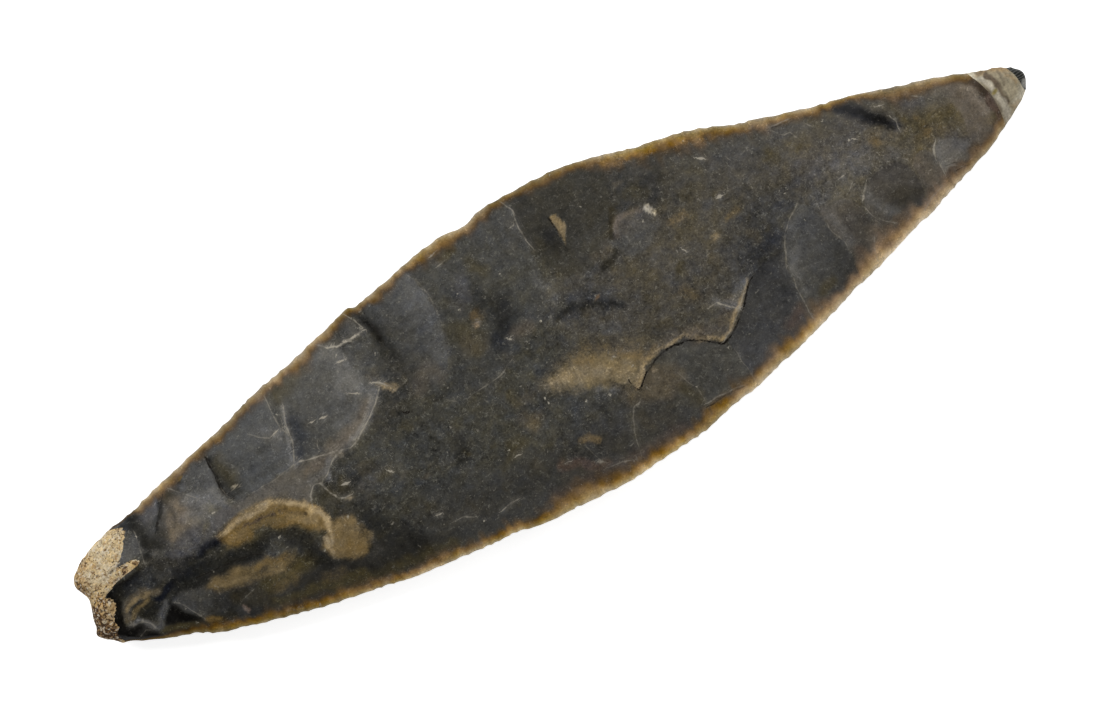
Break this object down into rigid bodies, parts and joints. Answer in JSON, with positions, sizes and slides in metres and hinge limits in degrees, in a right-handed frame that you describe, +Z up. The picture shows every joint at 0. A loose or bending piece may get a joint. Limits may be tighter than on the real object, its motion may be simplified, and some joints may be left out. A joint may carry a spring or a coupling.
{
  "type": "chert blade",
  "caption": "Long leaf-shaped knapped stone blade, flaked over both faces to a thin edge all round, with a rough chalky butt and a pale banded point.",
  "frame": {"origin": "middle of the box round the blade, in the plane of the flat that it lies on", "axes": "+X along the blade from the butt to the point, +Y across it, +Z up out of the upper face"},
  "size_m": [0.21, 0.0603, 0.0109],
  "materials": {
    "grey_chert": "waxy, half matt, mottled brown grey with small white specks",
    "chalky_rind": "rough, matt, granular",
    "pale_banded_chert": "half matt with thin curved bands",
    "black_chert": "glassy with fine ripples"
  },
  "bodies": {
    "root": {"chert_body": "grey_chert", "cortex_butt": "chalky_rind", "pale_tip": "pale_banded_chert", "tip_dark_fleck": "black_chert"}
  },
  "joints": []
}
